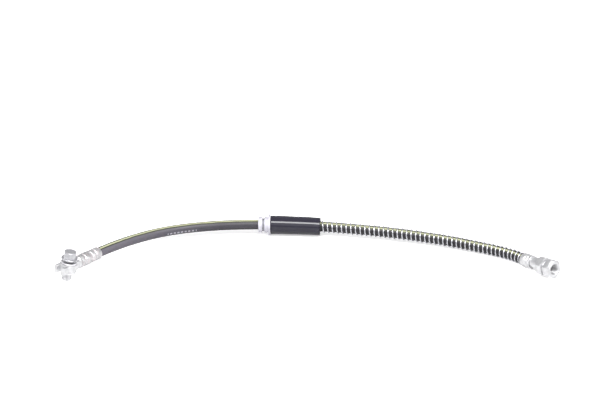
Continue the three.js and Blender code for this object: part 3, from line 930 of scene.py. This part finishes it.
def make_end_fitting():
    """The female fitting, built from the hose's end along X."""
    corner = END_HEX_FLATS / math.sqrt(3)
    envelope = corner + HEX_SPARE
    flat = END_HEX_FLATS / 2 - HEX_CHAMFER
    run = (envelope - flat) * math.tan(math.pi / 6)
    neck = 2 * GAP + FERRULE_END_WALL
    rear = neck + END_NECK_LENGTH
    collar = rear - END_COLLAR_LENGTH
    groove = rear + REAR_HEX_LENGTH
    front = groove + CLIP_GROOVE_WIDTH
    nose = front + FRONT_HEX_LENGTH
    mouth = nose + NOSE_LENGTH
    seat = mouth - PORT_DEPTH
    outside = [
        (-END_FERRULE_OVERLAP, 0),
        (-END_FERRULE_OVERLAP, STEM_RADIUS),
        (0, STEM_RADIUS),
        (0, STUB_RADIUS),
        (neck, STUB_RADIUS),
        (neck, END_NECK_RADIUS),
        (collar, END_NECK_RADIUS),
        (collar, END_COLLAR_RADIUS),
        (rear, END_COLLAR_RADIUS),
        (rear, flat),
        (rear + run, envelope),
        (groove, envelope),
        (groove, CLIP_GROOVE_RADIUS),
        (front, CLIP_GROOVE_RADIUS),
        (front, envelope),
        (nose - run, envelope),
        (nose, flat),
        (nose, NOSE_RADIUS),
        (mouth - NOSE_CHAMFER, NOSE_RADIUS),
        (mouth, NOSE_RADIUS - NOSE_CHAMFER),
        (mouth, 0),
    ]
    piece = turned("hex_female_fitting", rounded(outside, END_ROUNDING, closed=False, steps=2))
    bar = hex_bar("bar", END_HEX_FLATS, -END_FERRULE_LENGTH, mouth + MM, turn=END_HEX_TURN)
    combine(piece, bar, "INTERSECT")
    softened(piece, END_EDGE)
    thread = threaded_rod("thread", PORT_RADIUS + THREAD_DEPTH, seat, mouth + 2 * MM)
    combine(piece, thread, "DIFFERENCE")
    countersink = [
        (seat - PORT_SEAT_DEPTH, 0),
        (seat - PORT_SEAT_DEPTH, PASSAGE_RADIUS),
        (seat + 0.1 * MM, PORT_RADIUS - 0.2 * MM),
        (mouth - PORT_COUNTERSINK, PORT_RADIUS),
        (mouth + MM, PORT_RADIUS + PORT_COUNTERSINK + MM),
        (mouth + MM, 0),
    ]
    combine(piece, turned("countersink", countersink), "DIFFERENCE")
    combine(piece, rod("passage", PASSAGE_RADIUS, -END_FERRULE_LENGTH, seat), "DIFFERENCE")
    smooth(piece.data)
    return settled(piece, END_PLACE)


def shader(name):
    """A material with its tree, its principled shader and its node maker."""
    material = bpy.data.materials.new(name)
    material.use_nodes = True
    tree = material.node_tree
    surface = tree.nodes["Principled BSDF"]
    return material, tree, surface, node_maker(tree)


def own_coordinates(add, place):
    """Object coordinates turned back into a piece's own axes, with X along its axis."""
    spot = add("ShaderNodeTexCoord").outputs["Object"]
    axes = {"Vector": spot, "Location": place.translation, "Rotation": place.to_euler()}
    return add("ShaderNodeMapping", axes, vector_type="TEXTURE").outputs["Vector"]


def blended(add, share, below, above, blend="MIX"):
    """Blends two colours by a share. Each is a socket, or its red, green and blue."""
    below, above = (tone if isinstance(tone, bpy.types.NodeSocket) else (*tone, 1) for tone in (below, above))
    links = {"A": below, "B": above, "Factor": share}
    return add("ShaderNodeMix", links, data_type="RGBA", blend_type=blend).outputs["Result"]


def ranged(add, value, low, high, out_low=0.0, out_high=1.0):
    """Turns one range of values into another one, and holds it there past both ends."""
    links = {"Value": value, "From Min": low, "From Max": high, "To Min": out_low, "To Max": out_high}
    return add("ShaderNodeMapRange", links).outputs["Result"]


def noise(add, spot, scale, detail, roughness=0.5):
    """An uneven pattern at a scale in cells to a metre."""
    links = {"Vector": spot, "Scale": scale, "Detail": detail, "Roughness": roughness}
    return add("ShaderNodeTexNoise", links).outputs["Fac"]


def zone_mask(add, own, start, end, radius):
    """Where a spot lies between two places along the axis and within a radius of it."""
    number = number_maker(add)
    parts = add("ShaderNodeSeparateXYZ", {"Vector": own}).outputs
    flat = add("ShaderNodeCombineXYZ", {"Y": parts["Y"], "Z": parts["Z"]}).outputs["Vector"]
    off = add("ShaderNodeVectorMath", {0: flat}, operation="LENGTH").outputs["Value"]
    begun = ranged(add, parts["X"], start - ZONE_BLUR, start + ZONE_BLUR)
    ended = ranged(add, parts["X"], end - ZONE_BLUR, end + ZONE_BLUR, 1.0, 0.0)
    within = ranged(add, off, radius - ZONE_BLUR, radius + ZONE_BLUR, 1.0, 0.0)
    return number("MULTIPLY", number("MULTIPLY", begun, ended), within)


def plated_steel(name, place, tone, dull, roughness, dents=0.02 * MM, tint=None, zones=()):
    """Zinc-plated steel: cloudy tone, fine turning lines round the axis, slightly uneven gloss and
    faint dents. Each zone is a length along the axis, a radius that it stays within and its tone, which
    paints shade or light there."""
    material, tree, surface, add = shader(name)
    own = own_coordinates(add, place)
    cloud = noise(add, own, 260.0, 4.0, 0.6)
    colour = blended(add, ranged(add, cloud, 0.35, 0.7), dull, tone)
    if tint:
        patches = ranged(add, noise(add, own, 320.0, 2.0), 0.45, 0.62, 0.0, 0.6)
        colour = blended(add, patches, colour, tint)
    # Each zone lays painted shade or painted light over the colour
    for start, end, radius, painted_tone in zones:
        colour = blended(add, zone_mask(add, own, start, end, radius), colour, painted_tone)
    tree.links.new(colour, surface.inputs["Base Color"])
    surface.inputs["Metallic"].default_value = 1.0
    stretched = add("ShaderNodeMapping", {"Vector": own, "Scale": (1.0, 0.02, 0.02)}).outputs["Vector"]
    lines = noise(add, stretched, 2600.0, 3.0)
    grain = noise(add, own, 1800.0, 2.0)
    both = number_maker(add)("ADD", lines, grain)
    dent = noise(add, own, 420.0, 1.0)
    dented = add("ShaderNodeBump", {"Height": dent, "Strength": 1.0, "Distance": dents}).outputs["Normal"]
    bump = add("ShaderNodeBump", {"Height": both, "Strength": 0.25, "Distance": 0.06 * MM, "Normal": dented})
    tree.links.new(bump.outputs["Normal"], surface.inputs["Normal"])
    gloss = ranged(add, cloud, 0.3, 0.7, roughness - 0.06, roughness + 0.08)
    tree.links.new(gloss, surface.inputs["Roughness"])
    return material


def spring_steel(name):
    """Drawn wire: bright, with a faintly uneven tone and gloss."""
    material, tree, surface, add = shader(name)
    cloud = noise(add, add("ShaderNodeTexCoord").outputs["Object"], 900.0, 2.0)
    tree.links.new(blended(add, cloud, WIRE_DULL, WIRE_BRIGHT), surface.inputs["Base Color"])
    surface.inputs["Metallic"].default_value = 1.0
    tree.links.new(ranged(add, cloud, 0.3, 0.7, 0.2, 0.32), surface.inputs["Roughness"])
    return material


def hose_rubber(name):
    """Matte black rubber with its coloured stripe, a short row of printed dashes, chalky bloom with painted
    light near the banjo end and painted shade inside the guard.
    """
    material, tree, surface, add = shader(name)
    number = number_maker(add)
    pattern = add("ShaderNodeAttribute", attribute_name="hose_pattern").outputs["Vector"]
    parts = add("ShaderNodeSeparateXYZ", {"Vector": pattern}).outputs
    turn = number("ARCTAN2", parts["Y"], parts["X"])
    along = parts["Z"]
    spot = add("ShaderNodeTexCoord").outputs["Object"]
    dust = noise(add, spot, 700.0, 5.0, 0.65)
    bloom = noise(add, spot, 45.0, 3.0)
    drift = ranged(add, noise(add, spot, 90.0, 2.0), 0.3, 0.7, -STRIPE_DRIFT, STRIPE_DRIFT)
    off = number("ABSOLUTE", number("ADD", number("MULTIPLY", turn, HOSE_RADIUS), drift))
    stripe = ranged(add, off, STRIPE_HALF_WIDTH - STRIPE_BLUR, STRIPE_HALF_WIDTH + STRIPE_BLUR, 1.0, 0.0)
    border_start = STRIPE_HALF_WIDTH + STRIPE_BORDER
    border = ranged(add, off, border_start, border_start + STRIPE_BORDER / 2, 1.0, 0.0)

    colour = blended(add, ranged(add, dust, 0.3, 0.75), RUBBER_BLACK, RUBBER_DUSTY)
    # Chalky bloom and painted light: the rubber is paler near the banjo end, fading out along the hose
    colour = blended(add, ranged(add, along, BLOOM_AND_LIGHT_START, BLOOM_AND_LIGHT_END, 1.0, 0.0), colour, BLOOM_AND_PAINTED_LIGHT, "ADD")
    # Painted shade: the rubber is darker inside the guard, from the sleeve on
    colour = blended(add, ranged(add, along, SLEEVE_PLACE, GUARD_START), colour, RUBBER_SHADED_IN_GUARD)
    colour = blended(add, border, colour, STRIPE_EDGE)
    pale = blended(add, ranged(add, bloom, 0.35, 0.7), STRIPE_DULL, STRIPE_PALE)
    colour = blended(add, stripe, colour, pale)
    colour = blended(add, print_mask(add, turn, along), colour, PRINT_INK)
    tree.links.new(colour, surface.inputs["Base Color"])

    tree.links.new(ranged(add, bloom, 0.3, 0.7, 0.44, 0.58), surface.inputs["Roughness"])
    bump = add("ShaderNodeBump", {"Height": dust, "Strength": 0.3, "Distance": 0.08 * MM})
    tree.links.new(bump.outputs["Normal"], surface.inputs["Normal"])
    return material


def print_mask(add, turn, along):
    """Plain dashes in a row on the viewer's side of the hose."""
    number = number_maker(add)
    height = number("ABSOLUTE", number("SUBTRACT", turn, PRINT_ANGLE))
    in_row = number("LESS_THAN", height, PRINT_HALF_HEIGHT)
    dash = number("LESS_THAN", number("FRACT", number("DIVIDE", along, PRINT_PITCH)), PRINT_DASH_SHARE)
    begun = number("GREATER_THAN", along, PRINT_START)
    ended = number("LESS_THAN", along, PRINT_END)
    row = number("MULTIPLY", number("MULTIPLY", in_row, dash), number("MULTIPLY", begun, ended))
    return number("MULTIPLY", row, PRINT_STRENGTH)


def sleeve_rubber(name):
    """Smooth moulded black rubber with a soft polish."""
    material, tree, surface, add = shader(name)
    spot = add("ShaderNodeTexCoord").outputs["Object"]
    fine = noise(add, spot, 500.0, 4.0)
    broad = noise(add, spot, 40.0, 2.0)
    tree.links.new(blended(add, fine, SLEEVE_BLACK, SLEEVE_DUSTY), surface.inputs["Base Color"])
    tree.links.new(ranged(add, broad, 0.3, 0.7, 0.1, 0.15), surface.inputs["Roughness"])
    bump = add("ShaderNodeBump", {"Height": broad, "Strength": 0.15, "Distance": 0.4 * MM})
    tree.links.new(bump.outputs["Normal"], surface.inputs["Normal"])
    return material


def floor_material():
    """White paper, bright enough to print as white and still take the object's contact shadow."""
    material, tree, surface, add = shader("white_floor")
    tree.nodes.remove(surface)
    out = tree.nodes["Material Output"]

    def paper(shade):
        return add("ShaderNodeBsdfDiffuse", {"Color": (shade, shade, shade, 1)}).outputs[0]

    def mixed(share, near, far):
        mix = add("ShaderNodeMixShader", {"Fac": share})
        tree.links.new(near, mix.inputs[1])
        tree.links.new(far, mix.inputs[2])
        return mix.outputs[0]

    glow = add("ShaderNodeEmission", {"Color": (1, 1, 1, 1), "Strength": FLOOR_GLOW})
    seen = add("ShaderNodeAddShader")
    tree.links.new(glow.outputs[0], seen.inputs[0])
    tree.links.new(paper(FLOOR_PAPER), seen.inputs[1])
    ray = add("ShaderNodeLightPath").outputs
    bounced = mixed(ray["Is Glossy Ray"], paper(LIT_PAPER), paper(REFLECTED_PAPER))
    direct = number_maker(add)("MAXIMUM", ray["Is Camera Ray"], ray["Is Transmission Ray"])
    tree.links.new(mixed(direct, bounced, seen.outputs[0]), out.inputs["Surface"])
    return material


def make_floor():
    """The white surface that the hose lies on."""
    work = bmesh.new()
    signs = ((-1, -1), (1, -1), (1, 1), (-1, 1))
    work.faces.new([work.verts.new((x * FLOOR_HALF_WIDTH, y * FLOOR_HALF_WIDTH, 0)) for x, y in signs])
    mesh = bpy.data.meshes.new("floor")
    work.to_mesh(mesh)
    work.free()
    floor = link_mesh("floor", mesh)
    mesh.materials.append(floor_material())


def soft_box(name, place, size, power):
    """A rectangular light, with its power in watts, that faces the middle of the hose's footprint."""
    light = bpy.data.lights.new(name, "AREA")
    light.shape = "RECTANGLE"
    light.size, light.size_y = size
    light.energy = power
    holder = bpy.data.objects.new(name, light)
    holder.location = place
    holder.rotation_euler = Vector(place).to_track_quat("Z", "Y").to_euler()
    bpy.context.scene.collection.objects.link(holder)


def make_light():
    """An overhead strip that gives the sleeve its bright line, and soft light all round."""
    soft_box("overhead_strip", (0, -0.59, 1.12), (1.8, 0.42), 31)
    soft_box("front_fill", (0.2, -2.6, 1.6), (2.4, 1.2), 9)
    soft_box("left_fill", (-2.2, -0.3, 0.7), (1.2, 0.8), 7)
    soft_box("right_fill", (2.2, -0.5, 0.75), (1.2, 1.0), 11)
    soft_box("back_glow", (0, 3.0, 1.5), (5.0, 1.6), 4)
    world = bpy.data.worlds.new("studio")
    bpy.context.scene.world = world
    world.use_nodes = True
    background = world.node_tree.nodes["Background"]
    background.inputs["Color"].default_value = (0.52, 0.52, 0.53, 1)
    background.inputs["Strength"].default_value = 1.0


def dress(piece, material, slot, *nodes):
    """Gives a piece its finish, attaches it to the root body and hides the imported parts it replaces; slot
    is not used.
    """
    piece.data.materials.clear()
    piece.data.materials.append(material)
    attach(piece, "root")
    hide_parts(*nodes)
    return piece


make_camera()
bpy.context.scene.view_settings.view_transform = "Standard"

hose = dress(make_hose(), hose_rubber("black_hose_rubber"), "hose_rubber", "hose")
dress(
    make_banjo_fitting(),
    plated_steel("banjo_zinc_plate", BANJO_PLACE, BRIGHT, CLOUDY, 0.4, dents=0.08 * MM),
    "zinc_plate",
    "banjo_fitting",
)
dress(
    make_banjo_ferrule(),
    plated_steel("ferrule_zinc_plate", BANJO_PLACE, BRIGHT, MOTTLED, 0.46, dents=0.5 * MM, tint=PINK_CAST),
    "zinc_plate",
    "banjo_ferrule",
)
dress(
    make_banjo_bolt(),
    plated_steel("bolt_zinc_plate", BOLT_PLACE, BOLT_BRIGHT, BOLT_CLOUDY, 0.42, zones=(BOLT_NECK_PAINTED_SHADE, BOLT_TIP_PAINTED_LIGHT)),
    "bolt_steel",
    "banjo_bolt",
)
washer_finish = plated_steel("washer_alloy", BOLT_PLACE, WASHER_BRIGHT, WASHER_CLOUDY, 0.38)
dress(make_washer("upper_seal_washer", UPPER_WASHER_SEAT), washer_finish, "washer_alloy", "upper_washer")
dress(
    make_washer("lower_seal_washer", -UPPER_WASHER_SEAT - WASHER_THICKNESS),
    washer_finish,
    "washer_alloy",
    "lower_washer",
)
dress(
    make_bracket_ferrule(),
    plated_steel(
        "bracket_zinc_plate", BRACKET_END_PLACE, SATIN, SATIN_CLOUDY, 0.75, zones=(BRACKET_GROOVE_PAINTED_SHADE,)
    ),
    "zinc_plate",
    "bracket_ferrule",
)
dress(make_sleeve(), sleeve_rubber("polished_sleeve_rubber"), "sleeve_rubber", "sleeve")
wire_finish = spring_steel("drawn_spring_wire")
dress(make_spring_guard(wire_finish), wire_finish, "spring_wire", "spring_guard")
end_finish = plated_steel("end_zinc_plate", END_PLACE, BRIGHT, CLOUDY, 0.4, zones=(PORT_PAINTED_SHADE,))
dress(make_end_ferrule(), end_finish, "zinc_plate", "end_ferrule")
dress(make_end_fitting(), end_finish, "zinc_plate", "end_fitting")

make_floor()
make_light()
